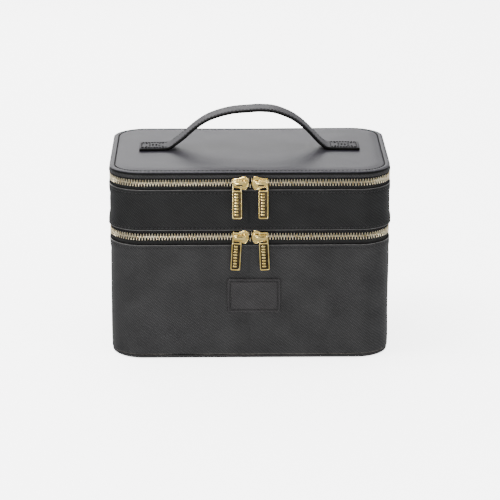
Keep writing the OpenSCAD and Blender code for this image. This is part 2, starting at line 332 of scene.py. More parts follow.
def saffiano(name, low, high, rough, uv=True, strength=0.5, spec=(0.08, 0.3), grazing=0.85):
    """Leather pressed with fine crossed diagonal lines, glossier on the raised lines."""
    m, nt, b = material(name, low, sum(rough) / 2)
    c = surface(nt, uv)
    _, ramp = vary(nt, b, c, low, high, 0.035, rough)
    a = wave(nt, c, 36, 1.5, 1.8)
    d = wave(nt, c, -54, 2.4, 2.8)
    lines = math_node(nt, "MULTIPLY", a, math_node(nt, "ADD", math_node(nt, "MULTIPLY", d, 0.6), 0.4))
    fine = node(nt, "ShaderNodeTexNoise", Scale=1.4, Detail=3.0)
    nt.links.new(c, fine.inputs["Vector"])
    height = math_node(nt, "ADD", lines, math_node(nt, "MULTIPLY", fine.outputs["Fac"], 0.5))
    bump(nt, b, height, strength, 0.2)
    shine = node(nt, "ShaderNodeMapRange", To_Min=spec[0], To_Max=spec[1])
    nt.links.new(lines, shine.inputs["Value"])
    facing = node(nt, "ShaderNodeLayerWeight", Blend=0.5).outputs["Facing"]
    lost = math_node(nt, "MULTIPLY", math_node(nt, "POWER", facing, 3.0), grazing)
    keep = math_node(nt, "SUBTRACT", 1.0, lost)
    nt.links.new(math_node(nt, "MULTIPLY", shine.outputs[0], keep), b.inputs["Specular IOR Level"])
    shade = node(nt, "ShaderNodeMix", data_type="RGBA")
    shade.blend_type = "MULTIPLY"
    shade.inputs["Factor"].default_value = 0.7
    dark = nt.nodes.new("ShaderNodeValToRGB")
    dark.color_ramp.elements[0].color = (0.35, 0.35, 0.35, 1)
    nt.links.new(lines, dark.inputs["Fac"])
    nt.links.new(ramp.outputs[0], shade.inputs["A"])
    nt.links.new(dark.outputs[0], shade.inputs["B"])
    nt.links.new(shade.outputs["Result"], b.inputs["Base Color"])
    return m


def cloth(name, low, high, period, uv=True, sheen=0.3, ratio=1.0):
    """Plain woven cloth."""
    m, nt, b = material(name, low, 0.9)
    b.inputs["Sheen Weight"].default_value = sheen
    b.inputs["Specular IOR Level"].default_value = 0.1
    c = surface(nt, uv)
    vary(nt, b, c, low, high, 0.4 / period, (0.8, 0.95))
    h = math_node(nt, "MULTIPLY", wave(nt, c, 0, period, 0.3), wave(nt, c, 90, period * ratio, 0.3))
    bump(nt, b, h, 0.7, 0.12)
    return m


leather = saffiano("black_saffiano", (0.011, 0.011, 0.0115), (0.018, 0.018, 0.0185), (0.46, 0.58))
# tier leather: the same saffiano made darker, as painted shade on the upper tier
tier_leather_painted_shade = saffiano("tier_saffiano_painted_shade", (0.006, 0.0062, 0.0064), (0.010, 0.0103, 0.0105), (0.48, 0.6),
                        spec=(0.05, 0.22))
# lid leather: the same saffiano made lighter and lavender, as painted reflection of the bright room across
# the lid top
lid_leather_painted_sheen = saffiano("lid_saffiano_painted_sheen", (0.018, 0.0165, 0.0225), (0.024, 0.0225, 0.029), (0.44, 0.52),
                       strength=0.25, spec=(0.11, 0.19), grazing=0.0)
# strap leather: the same saffiano made lighter, as painted sheen on the handle
strap_leather_painted_sheen = saffiano("strap_saffiano_painted_sheen", (0.022, 0.020, 0.024), (0.030, 0.028, 0.033), (0.46, 0.55),
                         strength=0.3, spec=(0.05, 0.11), grazing=0.0)
cad_leather = saffiano("base_saffiano", (0.011, 0.011, 0.0115), (0.018, 0.018, 0.0185), (0.5, 0.6), uv=False)
patch_leather = saffiano("patch_leather", (0.014, 0.0135, 0.014), (0.022, 0.021, 0.022), (0.42, 0.52))

# raw cut leather edge along the base: partly its own brown, partly lightened as a painted highlight line
raw_edge_and_highlight, nt, b = material("raw_leather_edge_and_highlight", (0.045, 0.04, 0.036), 0.75, Specular_IOR_Level=0.2)
n, _ = vary(nt, b, surface(nt, False), (0.025, 0.022, 0.02), (0.07, 0.063, 0.055), 0.25, (0.7, 0.85))
bump(nt, b, n.outputs["Fac"], 0.4, 0.15)

edge_paint, nt, b = material("edge_paint", (0.002, 0.002, 0.002), 0.5, Specular_IOR_Level=0.08)
n, _ = vary(nt, b, surface(nt, False), (0.0015, 0.0015, 0.0015), (0.003, 0.003, 0.003), 0.3, (0.4, 0.55))
bump(nt, b, n.outputs["Fac"], 0.25, 0.2)

# hem edge paint: lighter than the black edge paint, as a painted highlight line along each hem
hem_paint_and_highlight, nt, b = material("hem_paint_and_highlight", (0.03, 0.03, 0.03), 0.3, Specular_IOR_Level=0.5)
n, _ = vary(nt, b, surface(nt, False), (0.02, 0.02, 0.02), (0.045, 0.044, 0.043), 0.3, (0.22, 0.4))
bump(nt, b, n.outputs["Fac"], 0.3, 0.15)

thread, nt, b = material("black_thread", (0.006, 0.006, 0.006), 0.45, Specular_IOR_Level=0.3)
c = surface(nt, False)
vary(nt, b, c, (0.004, 0.004, 0.004), (0.010, 0.010, 0.010), 0.6, (0.4, 0.6))
bump(nt, b, wave(nt, c, 30, 0.35, 0.5), 0.6, 0.08)

gold, nt, b = material("pale_gold", (0.86, 0.64, 0.22), 0.15, 1.0)
c = surface(nt, False)
n, _ = vary(nt, b, c, (0.80, 0.57, 0.16), (0.94, 0.76, 0.32), 0.25, (0.12, 0.22))
bump(nt, b, n.outputs["Fac"], 0.12, 0.15)

# teeth gold: paler than the slider gold, and lightened as painted highlight on the teeth
pale_tooth_gold_and_highlight, nt, b = material("pale_tooth_gold_and_highlight", (0.95, 0.84, 0.58), 0.28, 1.0)
c = surface(nt, False)
n, _ = vary(nt, b, c, (0.92, 0.78, 0.50), (0.98, 0.90, 0.68), 0.4, (0.22, 0.34))
bump(nt, b, n.outputs["Fac"], 0.15, 0.1)

# pull panels: gold made near black, as painted shade and dark reflection in the recess
panel_gold_painted_shade, nt, b = material("brushed_gold_painted_shade", (0.04, 0.03, 0.016), 0.32, 1.0)
c = surface(nt, False)
n, _ = vary(nt, b, c, (0.02, 0.015, 0.008), (0.07, 0.052, 0.026), 0.3, (0.24, 0.38))
grain = node(nt, "ShaderNodeTexNoise", Scale=1.0, Detail=3.0)
nt.links.new(mapped(nt, c, 0, (3.5, 3.5, 0.15)), grain.inputs["Vector"])
bump(nt, b, grain.outputs["Fac"], 0.25, 0.08)

tape = cloth("zip_tape_weave", (0.004, 0.004, 0.004), (0.008, 0.008, 0.008), 0.55, ratio=2.2, sheen=0.0)
lining = cloth("lining_cloth", (0.10, 0.095, 0.10), (0.14, 0.13, 0.14), 0.7, uv=False, sheen=0.5)
binding = cloth("binding_tape", (0.035, 0.033, 0.036), (0.05, 0.047, 0.05), 0.8)

card, nt, b = material("grey_board", (0.30, 0.25, 0.19), 0.9)
n, _ = vary(nt, b, surface(nt, False), (0.25, 0.21, 0.16), (0.36, 0.30, 0.23), 0.2, (0.85, 0.95))
bump(nt, b, n.outputs["Fac"], 0.4, 0.2)

glass, nt, b = material("silvered_glass", (0.88, 0.90, 0.90), 0.02, 1.0)
n, _ = vary(nt, b, surface(nt, False), (0.86, 0.88, 0.885), (0.9, 0.915, 0.915), 0.01, (0.015, 0.03))


def paint(name, mat):
    """A material for a CAD node that is kept as it is."""
    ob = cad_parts[name]
    ob.data.materials.clear()
    ob.data.materials.append(mat)


for name in ("lower_lining", "tray_lining", "tier_underside_lining", "lid_lining"):
    paint(name, lining)
for name in ("lower_floor_board", "lower_wall_board", "tier_wall_board", "tray_floor_board", "lid_board"):
    paint(name, card)
paint("base_panel", cad_leather)
paint("mirror_glass", glass)


# ---------- leather walls ----------

def smooth(t):
    t = min(1, max(0, t))
    return t * t * (3 - 2 * t)


def drift(s, z, size, amount):
    """Slow unevenness that closes on itself round the loop."""
    a = 2 * math.pi * s / LOOP
    r = LOOP / (2 * math.pi) / size
    return amount * noise.noise(Vector((math.cos(a) * r, math.sin(a) * r, z / size)))


FLUSH = 0.75       # outer face of the leather, out from the wall line
TRIM_TOP = 4.2     # where the lower wall starts, above the base trim
LOW_HEM = 1.9      # the tier's lower hem flares over the zip
STITCH_IN = 3.1    # from a top hem's edge down to its stitches
LOW_STITCH_IN = 2.2


def wall_g(z, z0, z1, low, high):
    """Outer face of a leather wall at height z: hems stand out, with a groove along the stitches."""
    g = FLUSH
    if high:
        g += (HEM + 0.1 - FLUSH) * smooth((z - (z1 - 11)) / 6.5)
        g -= 0.35 * math.exp(-((z - (z1 - STITCH_IN)) / 0.65) ** 2)
        g -= 0.3 * math.exp(-((z - (z1 - 10.5)) / 2.6) ** 2)
    if low:
        g += (LOW_HEM - FLUSH) * (1 - smooth((z - (z0 + 4)) / 8))
        g -= 0.35 * math.exp(-((z - (z0 + LOW_STITCH_IN)) / 0.65) ** 2)
    return g


def back_g(z, z0, z1, low, high):
    """Hidden inner face of the same wall."""
    flare = smooth((z - (z1 - 15)) / 9.5) if high else 0
    if low:
        flare = max(flare, 1 - smooth((z - (z0 + 5.5)) / 9.5))
    return HEM * flare - 1.15


def leather_wall(name, z0, z1, low, high, body, seed, mat, replaced):
    """A leather wall with its hems, and the unevenness that its stitches follow."""
    steps = []
    z = z0 + 0.5
    while z < z1 - 0.5:
        steps.append(z)
        near = (high and z > z1 - 6) or (low and z < z0 + 6)
        z += 0.4 if near else 2.2
    steps.append(z1 - 0.5)
    outer = [(wall_g(z, z0, z1, low, high), z) for z in steps]
    top = outer[-1][0]
    bottom = outer[0][0]
    profile = [(bottom - 0.35, z0 + 0.08)] + outer + [(top - 0.3, z1 - 0.1), (top - 0.7, z1 - 0.02)]
    profile += [(back_g(z, z0, z1, low, high), z)
                for z in (z1 - 0.4, z1 - 5.8, z1 - 10, z1 - 15, (z0 + z1) / 2, z0 + 15, z0 + 10, z0 + 5.8,
                          z0 + 0.4)]
    profile += [(min(bottom - 0.8, 0.6), z0 + 0.02)]

    def wob(s, g, z):
        if g < FLUSH - 0.6:
            return 0, 0
        ends = max(0.12, min(1, (z - z0) / 9, (z1 - z) / 9))
        return drift(s + seed, z, 46, 0.5) * ends + drift(s - seed, z, 17, 0.12), drift(s, 0, 30, 0.16)

    sweep(name, profile, mat, body, wob=wob, node=replaced)
    return wob


lower_wob = leather_wall("lower_leather", TRIM_TOP, LOW_TOP, False, True, "lower_case", 11,
                         leather, "lower_leather_shell")
# the upper tier's wall takes the darker leather copy: painted shade
tier_wob = leather_wall("tier_leather_painted_shade", TIER0, TIER1, True, True, "upper_tier", 47,
                        tier_leather_painted_shade, "tier_leather_shell")


def shaped(z0, z1, low, high, wob):
    """Where the wall's outer face is at distance s and height z, as (out, up)."""
    def shape(s, g, z):
        dg, dz = wob(s, g, z)
        return wall_g(z, z0, z1, low, high) + dg, z + dz
    return shape


low_shape = shaped(TRIM_TOP, LOW_TOP, False, True, lower_wob)
tier_shape = shaped(TIER0, TIER1, True, True, tier_wob)


def hem_edge(name, g, z, body):
    """Painted edge of a folded hem, lighter than the black edge paint as a painted highlight line."""
    sweep(name, ellipse(g - 0.42, z, 0.42, 0.36, 10), hem_paint_and_highlight, body,
          wob=lambda s, out, up: (drift(s, z, 17, 0.08), drift(s, 0, 30, 0.16)))


hem_edge("lower_hem_edge", HEM + 0.2, LOW_TOP - 0.25, "lower_case")
hem_edge("tier_low_hem_edge", LOW_HEM + 0.1, TIER0 + 0.25, "upper_tier")
hem_edge("tier_top_hem_edge", HEM + 0.2, TIER1 - 0.25, "upper_tier")
stitches("lower_top_stitches", wall_seats(low_shape, LOW_TOP - STITCH_IN), "lower_case", thread)
tier_seats = wall_seats(tier_shape, TIER1 - STITCH_IN) + wall_seats(tier_shape, TIER0 + LOW_STITCH_IN)
stitches("tier_stitches", tier_seats, "upper_tier", thread)

# ---------- base ----------

def trim_wob(s, g, z):
    return drift(s, 0, 14, 0.22) * (1 if g > -1 else 0), drift(s + 90, 3, 20, 0.25) * smooth(z / 2)


arc = [(-1.55 + 1.75 * math.cos(a), 2.05 + 1.95 * math.sin(a))
       for a in [math.radians(d) for d in range(-90, 91, 15)]]
sweep("base_welt", [(-2.9, 0.0), (-1.9, 0.0)] + arc + [(-2.9, 4.0)], leather, "lower_case",
      node="base_trim", wob=trim_wob)
# lightened raw edge: painted highlight line along the base
sweep("base_raw_edge_and_highlight", ellipse(0.02, 4.3, 0.5, 0.36, 8), raw_edge_and_highlight, "lower_case",
      wob=lambda s, g, z: (drift(s + 90, 3, 26, 0.25), drift(s + 90, 3, 60, 0.7) + drift(s, 9, 20, 0.25)))

# ---------- inside edges ----------

for name, z, body in (("lower_binding", LOW_TOP - 0.3, "lower_case"),
                      ("tray_binding", TIER1 - 0.4, "upper_tier")):
    sweep(name, [(-4.75, z - 7), (-4.75, z - 0.6), (-4.5, z + 0.1), (-3.9, z + 0.42), (-1.9, z + 0.42),
                 (-1.25, z + 0.2), (-1.25, z - 0.25), (-4.25, z - 0.25), (-4.4, z - 0.6), (-4.4, z - 7)],
          binding, body)

# ---------- zips ----------

PITCH = 2.6        # between teeth on one side of the chain
ZIP_END = SX + QA + 2 * SY + R * math.radians(60)
ROW = int(ZIP_END / PITCH)
GAP = 1.55         # how far each row stands back between the two sliders


def parted(s):
    """How far a row of teeth stands back from the chain's middle."""
    return GAP * min(1, max(0, (10.4 - abs(s)) / 3.2))


def tooth_row(name, z, up, body, replaced):
    """Metal teeth clamped on the tape's cord, with heads that interlock at the chain's middle."""
    side = [(0.30, 3.1), (0.44, 2.8), (0.44, 1.9), (0.42, 1.2), (0.36, 0.75), (0.52, 0.3),
            (0.42, -0.35), (0.0, -0.5)]
    outline = side + [(-a, b) for a, b in reversed(side[:-1])]
    k = len(outline)
    layers = ((-1.3, 0.7), (-1.05, 1.0), (1.0, 1.0), (1.3, 0.62))
    verts, faces = [], []
    for i in range(-ROW, ROW + (0 if up > 0 else 1)):
        s = (i + (0.5 if up > 0 else 0)) * PITCH
        x, y, nx, ny = at(s)
        off = -0.5 + random.uniform(-0.05, 0.05)
        lean = random.uniform(-0.02, 0.02)
        base = len(verts)
        for d, f in layers:
            for a, h in outline:
                a, h2 = a * f, 1.3 + (h - 1.3) * (0.93 + 0.07 * f)
                a += lean * h2
                waist = 1 - 0.38 * math.exp(-((h - 1.3) / 0.75) ** 2)
                px, py = x + nx * (off + d * waist) - ny * a, y + ny * (off + d * waist) + nx * a
                verts.append((px, py, z + up * (h2 + parted(s))))
        for r in range(3):
            for j in range(k):
                c = base + r * k
                q = (c + j, c + (j + 1) % k, c + k + (j + 1) % k, c + k + j)
                faces.append(q if up > 0 else q[::-1])
        cap = tuple(range(base, base + k))
        lid = tuple(range(base + 3 * k, base + 4 * k))
        faces += [cap[::-1], lid] if up > 0 else [cap, lid[::-1]]
    # teeth in the lightened gold: painted highlight
    ob = make(name, verts, faces, pale_tooth_gold_and_highlight, body, smooth=False, node=replaced)
    fix_normals(ob)
    return ob


def tape_strip(name, z, z_far, up, body, replaced):
    """Woven tape with a corded edge that the teeth bite on."""
    edge = z + up * 1.9
    prof = [(-0.78, z_far), (-0.22, z_far), (-0.22, z + up * 3.2), (-0.05, z + up * 2.7),
            (0.02, z + up * 2.2), (-0.2, edge), (-0.5, z + up * 1.75), (-0.8, edge),
            (-1.02, z + up * 2.2), (-0.95, z + up * 2.7), (-0.78, z + up * 3.2)]
    end = SX + QA + 2 * SY + QA

    def wob(s, g, zz):
        near = up * (zz - z) < 3.6
        p = parted(s) if near else 0
        close = up * smooth((abs(s) - ZIP_END + 1) / 5) * 1.65 if near else 0
        return 0, up * p - close

    return sweep(name, prof, tape, body, node=replaced, s0=-end, s1=end, step=2.2, wob=wob)


ZIPS = (("lower_zip_bottom", LOW_ZIP, -1, LOW_TOP - 5.5, "lower_case"),
        ("lower_zip_top", LOW_ZIP, 1, TIER0 + 5.5, "upper_tier"),
        ("upper_zip_bottom", UP_ZIP, -1, TIER1 - 5.5, "upper_tier"),
        ("upper_zip_top", UP_ZIP, 1, LID1 - 0.3, "lid"))
for name, z, up, far, body in ZIPS:
    tooth_row(name + "_chain", z, up, body, name + "_teeth")
    tape_strip(name + "_woven", z, far, up, body, name + "_tape")

# ---------- sliders and pulls ----------

def prism(outline, y0, y1, dome=0.0):
    """Verts and faces of an outline in (x, z) between two distances in front of the wall."""
    k = len(outline)
    cx = sum(p[0] for p in outline) / k
    cz = sum(p[1] for p in outline) / k
    verts = [(x, y0, z) for x, z in outline] + [(x, y1, z) for x, z in outline]
    faces = [(j, (j + 1) % k, k + (j + 1) % k, k + j) for j in range(k)]
    faces.append(tuple(range(k - 1, -1, -1)))
    if dome:
        last = k
        for f, d in ((0.96, 0.28), (0.86, 0.51), (0.7, 0.71), (0.5, 0.87), (0.25, 0.97)):
            start = len(verts)
            verts += [(cx + (x - cx) * f, y1 + dome * d, cz + (z - cz) * f) for x, z in outline]
            faces += [(last + j, last + (j + 1) % k, start + (j + 1) % k, start + j) for j in range(k)]
            last = start
        faces.append(tuple(range(last, last + k)))
    else:
        faces.append(tuple(range(k, 2 * k)))
    return verts, faces


def joined(parts):
    verts, faces = [], []
    for v, f in parts:
        n = len(verts)
        verts += v
        faces += [tuple(i + n for i in q) for q in f]
    return verts, faces


def in_front(points, x0, z0, sign=1):
    """Points given as (across, out from the wall, up), put in front of the case."""
    return [(x0 + sign * x, -HY - y, z0 + h) for x, y, h in points]


def mirror_z(half):
    """An outline symmetric about z = 0 from its upper half."""
    return half + [(x, -z) for x, z in reversed(half) if abs(z) > 1e-6]


def rounded(x0, x1, z0, z1, r, n=4):
    """A rectangle with round corners."""
    corners = ((x1 - r, z1 - r, 0), (x0 + r, z1 - r, 90), (x0 + r, z0 + r, 180), (x1 - r, z0 + r, 270))
    out = []
    for cx, cz, a in corners:
        for i in range(n + 1):
            t = math.radians(a + 90 * i / n)
            out.append((cx + r * math.cos(t), cz + r * math.sin(t)))
    return out


POST = 12.0        # from the case's middle to a slider's post


def slider(name, z, sign, slot, body, replaced):
    """A slider: plate with a raised rim, domed bridge over the post, and jaws round the chain."""
    plate = mirror_z([(1.3, 0.0), (1.5, 1.6), (2.5, 4.2), (3.7, 6.0), (4.7, 6.35), (6.2, 6.0), (8.4, 4.95),
                      (11.0, 4.45), (14.0, 4.2), (15.3, 3.3), (15.95, 1.8), (16.05, 0.0)])
    hood = mirror_z([(3.2, 0.0), (3.5, 1.5), (4.5, 2.3), (6.5, 2.4), (9.0, 2.3), (12.0, 2.6), (14.4, 2.3),
                     (15.8, 1.4), (16.2, 0.0)])
    neck = rounded(3.0, 5.9, -2.6, 2.6, 0.8)
    middle = sum(x for x, _ in plate) / len(plate)
    rim = [(middle + (x - middle) * 0.95, 2.0, z * 0.94) for x, z in plate]
    wedge = mirror_z([(7.6, 0.1), (5.5, 1.0), (1.6, 1.0)])
    parts = [prism(plate, 1.25, 1.9, 0.2), tube(rim, 0.5, 8, closed=True), prism(hood, 4.3, 4.5, 1.7),
             prism(neck, 1.9, 4.9), prism(rounded(1.5, 16.0, -4.2, 4.2, 1.2), -3.2, -2.1),
             prism(wedge, -2.5, 1.6), prism(ellipse(POST, 0, 1.3, 1.3, 16), 1.6, 4.9)]
    for s in (-1, 1):
        flange = rounded(10.3, 16.0, s * 3.8 - 0.45, s * 3.8 + 0.45, 0.2)
        parts += [prism(flange, 0.0, 1.6), prism(flange, -2.6, -1.0)]
    verts, faces = joined(parts)
    ob = make(name, in_front(verts, 0, z, sign), faces, gold, body, node=replaced)
    fix_normals(ob)
    bevel(ob, 0.28, 2, 40)
    # black block in the slot under the bridge, as painted shade
    verts, faces = prism(rounded(7.0, 12.8, slot - 0.42, slot + 0.42, 0.4), 4.6, 6.4)
    make(name + "_slit_painted_shade", in_front(verts, 0, z, sign), faces, edge_paint, body, smooth=False)


def pull(name, z, sign, tilt, lean, shift, body, replaced):
    """A pull with a raised rim round a panel of plain ribs, near black as painted shade of its recess, and a
    window for the slider's post.
    """
    L, W = 32.6, 8.9
    verts, faces = [], []

    def ring_pair(outer, inner, y0, y1):
        n, k = len(verts), len(outer)
        for y in (y0, y1):
            verts.extend((x, y, h) for x, h in outer)
            verts.extend((x, y, h) for x, h in inner)
        for j in range(k):
            i = (j + 1) % k
            faces.append((n + j, n + i, n + 2 * k + i, n + 2 * k + j))
            faces.append((n + k + i, n + k + j, n + 3 * k + j, n + 3 * k + i))
            faces.append((n + 2 * k + j, n + 2 * k + i, n + 3 * k + i, n + 3 * k + j))
            faces.append((n + j, n + k + j, n + k + i, n + i))

    # rim frame round the panel, from the window down
    ring_pair(rounded(-W / 2, W / 2, -L, -6.4, 1.3),
              rounded(-W / 2 + 0.95, W / 2 - 0.95, -L + 1.1, -7.7, 0.5), 2.75, 4.35)
    # eye round the post
    ring_pair(rounded(-W / 2 + 0.1, W / 2 - 0.1, -7.6, 3.6, 1.4),
              rounded(-2.9, 2.9, -6.6, 1.5, 0.5), 2.8, 4.2)
    post = sign * POST
    ob = make(name, in_front(verts, post, z), faces, gold, body, node=replaced)
    fix_normals(ob)
    bevel(ob, 0.42, 3, 40)
    points, sides = prism(rounded(-W / 2 + 0.9, W / 2 - 0.9, -L + 1.0, -7.6, 0.6), 2.95, 3.6)
    face = make(name + "_panel", in_front(points, post, z), sides, panel_gold_painted_shade, body, smooth=False)
    feet = [-L + 3.0 + 2.7 * i for i in range(8)]
    points, sides = joined([prism(rounded(-2.3, 1.1, h, h + 1.5, 0.5), 3.5, 4.05, 0.12) for h in feet])
    rib = make(name + "_ribs", in_front(points, post, z), sides, gold, body)
    pivot = Vector((sign * POST * M, (-HY - 3) * M, z * M))
    move = Matrix.Translation(pivot + Vector((0, 0, shift * M)))
    swing = Matrix.Rotation(math.radians(tilt), 4, "Y") @ Matrix.Rotation(math.radians(lean), 4, "X")
    turn = move @ swing @ Matrix.Translation(-pivot)
    for o in (face, rib):
        fix_normals(o)
    for o in (ob, face, rib):
        o.data.transform(turn)
    return ob


for level, z in (("lower", LOW_ZIP), ("upper", UP_ZIP)):
    for side, sign in (("left", -1), ("right", 1)):
        n = level + "_" + side
        slot = -1.1 if level == "upper" else 1.2
        slider(n + "_zip_slider", z, sign, slot, n + "_slider_body", n + "_slider")
        tilt = {"lower_left": 3.3, "lower_right": -2.6}.get(n, 0)
        lean, shift = (-7, 0) if level == "upper" else (-1, 1.3)
        pull(n + "_zip_pull", z, sign, tilt, lean, shift, n + "_pull_body", n + "_pull")

# ---------- lid ----------

def lid_z(x, y):
    """Top of the padded lid: turned edge, stitched channel, soft crown."""
    d = inset(x, y)
    z = LID1 + 1.25 + 0.5 * smooth((d + 0.7) / 2.2)
    z -= 0.5 * math.exp(-((d - 4.3) / 0.7) ** 2)
    z += 0.85 * smooth((d - 4.6) / 8) + 0.6 * smooth((d - 8) / 60)
    z += 0.5 * math.exp(-((abs(x) - 94) / 26) ** 2) * smooth((d - 2) / 12) * smooth((y + 60) / 120)
    z += 0.22 * noise.noise(Vector((x / 34, y / 34, 0.3))) * smooth(d / 10)
    z -= 0.35 * math.exp(-(x / 52) ** 2) * smooth((y - 40) / 40)
    return z


SEAM_IN = 4.3      # from the lid's edge to its stitched channel


def lid_top():
    """Padded top in rings of equal depth from the edge, closest together across the channel."""
    n = 320
    round_in = R - 1   # the corners stay round down to this depth
    depths = [-0.6, -0.45, -0.2, 0.1, 0.6, 1.3, 2.2, 3.0, 3.5, 3.9, 4.3, 4.7, 5.1, 5.7, 6.6, 8, 10, 12.5,
              15.5, 19, 23, 27, 30, 34, 39, 45, 51, 57, 63, 69, 75, HY]
    verts, uvs, faces = [], [], []
    base = [at(LOOP * (i + 0.5) / n) for i in range(n)]
    for d in depths:
        for x, y, nx, ny in base:
            inward = min(d, round_in)
            p = (x - nx * inward, y - ny * inward)
            if d > round_in:
                lim_x, lim_y = HX - d, HY - d
                p = (max(-lim_x, min(lim_x, p[0])), max(-lim_y, min(lim_y, p[1])))
            verts.append((p[0], p[1], lid_z(*p)))
            uvs.append(p)
    k = len(depths)
    for r in range(k - 1):
        for i in range(n):
            j = (i + 1) % n
            faces.append((r * n + i, r * n + j, (r + 1) * n + j, (r + 1) * n + i))
    # turned-down edge and flat underside
    start = len(verts)
    for x, y, nx, ny in base:
        verts.append((x + nx * 0.4, y + ny * 0.4, LID1 + 0.75))
        uvs.append((x, y))
    for i in range(n):
        j = (i + 1) % n
        faces.append((start + i, start + j, j, i))
    faces.append(tuple(range(start + n - 1, start - 1, -1)))
    # lid top in the lighter leather copy: painted sheen
    ob = make("lid_top_leather", verts, faces, lid_leather_painted_sheen, "lid", uvs, node="lid_top_panel")
    bm = bmesh.new()
    bm.from_mesh(ob.data)
    bmesh.ops.remove_doubles(bm, verts=bm.verts, dist=0.02 * M)
    bmesh.ops.dissolve_degenerate(bm, dist=0.001 * M, edges=bm.edges)
    bmesh.ops.recalc_face_normals(bm, faces=bm.faces)
    bm.to_mesh(ob.data)
    bm.free()


def lid_seam(count=210):
    seats = []
    for i in range(count):
        x, y, nx, ny = at(LOOP * (i + 0.5) / count)
        x, y = x - nx * SEAM_IN, y - ny * SEAM_IN
        seats.append(((x, y, lid_z(x, y)), (-ny, nx, 0), (0, 0, 1)))
    stitches("lid_top_stitches", seats, "lid", edge_paint, length=2.0, r=0.55, lift=0.4)


lid_top()
lid_seam()

sweep("lid_edge_leather", [(HEM, LID0 + 0.4), (HEM + 0.05, LID0 + 1.2), (HEM, LID1 - 1.6),
                           (HEM - 0.35, LID1 - 1.1), (-0.1, LID1 - 0.9), (-0.12, LID0 + 0.4),
                           (0.15, LID0 + 0.08), (0.75, LID0 + 0.08)],
      leather, "lid", node="lid_edge_strip", wob=lambda s, g, z: (drift(s, 5, 30, 0.15), 0))
sweep("lid_piping_cord", ellipse(-0.45, LID1 - 0.45, 1.2, 1.35, 10), edge_paint, "lid", node="lid_piping",
      wob=lambda s, g, z: (drift(s, 0, 9, 0.1), drift(s + 40, 0, 12, 0.14)))

# ---------- handle ----------

STRAP_W, STRAP_T = 24.0, 2.6
STRAP_Y = sum(v.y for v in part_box("handle_strap")) / 2 / M
# the strap's arch as (along the case, height over the lid), a little higher to the right of the middle
KNOTS = [(-102.8, 0), (-94, 0), (-84, 0.05), (-78.2, 0.3), (-74.2, 1.2), (-70.2, 3.4), (-60.4, 11.0),
         (-48.6, 21.3), (-35.4, 29.3), (-17, 34.7), (2, 36.5), (11.4, 36.9), (24.1, 35.6), (37.2, 30.6),
         (45.6, 25.3), (53.9, 18.0), (62.6, 8.6), (67.8, 3.6), (71.8, 1.1), (76.5, 0.25), (83, 0.05),
         (93, 0), (103.4, 0)]


def spline(points, per=6):
    """A smooth curve through the points, in equal steps between each two."""
    out = []
    p = [points[0]] + points + [points[-1]]
    for i in range(1, len(p) - 2):
        a, b, c, d = p[i - 1:i + 3]
        for j in range(per):
            t = j / per
            out.append(tuple(0.5 * (2 * b[k] + (c[k] - a[k]) * t
                                    + (2 * a[k] - 5 * b[k] + 4 * c[k] - d[k]) * t * t
                                    + (3 * b[k] - a[k] - 3 * c[k] + d[k]) * t ** 3) for k in (0, 1)))
    return out + [points[-1]]


def strap_line():
    """The strap's underside as (x, z, slope), lying on the lid at its ends."""
    line = spline(KNOTS)
    out = []
    for i, (x, h) in enumerate(line):
        a, b = line[max(0, i - 1)], line[min(len(line) - 1, i + 1)]
        free = smooth(h / 6)
        z = lid_z(x, STRAP_Y) * (1 - free) + LID2 * free + h + 0.05
        out.append((x, z, math.atan2(b[1] - a[1], b[0] - a[0])))
    return out


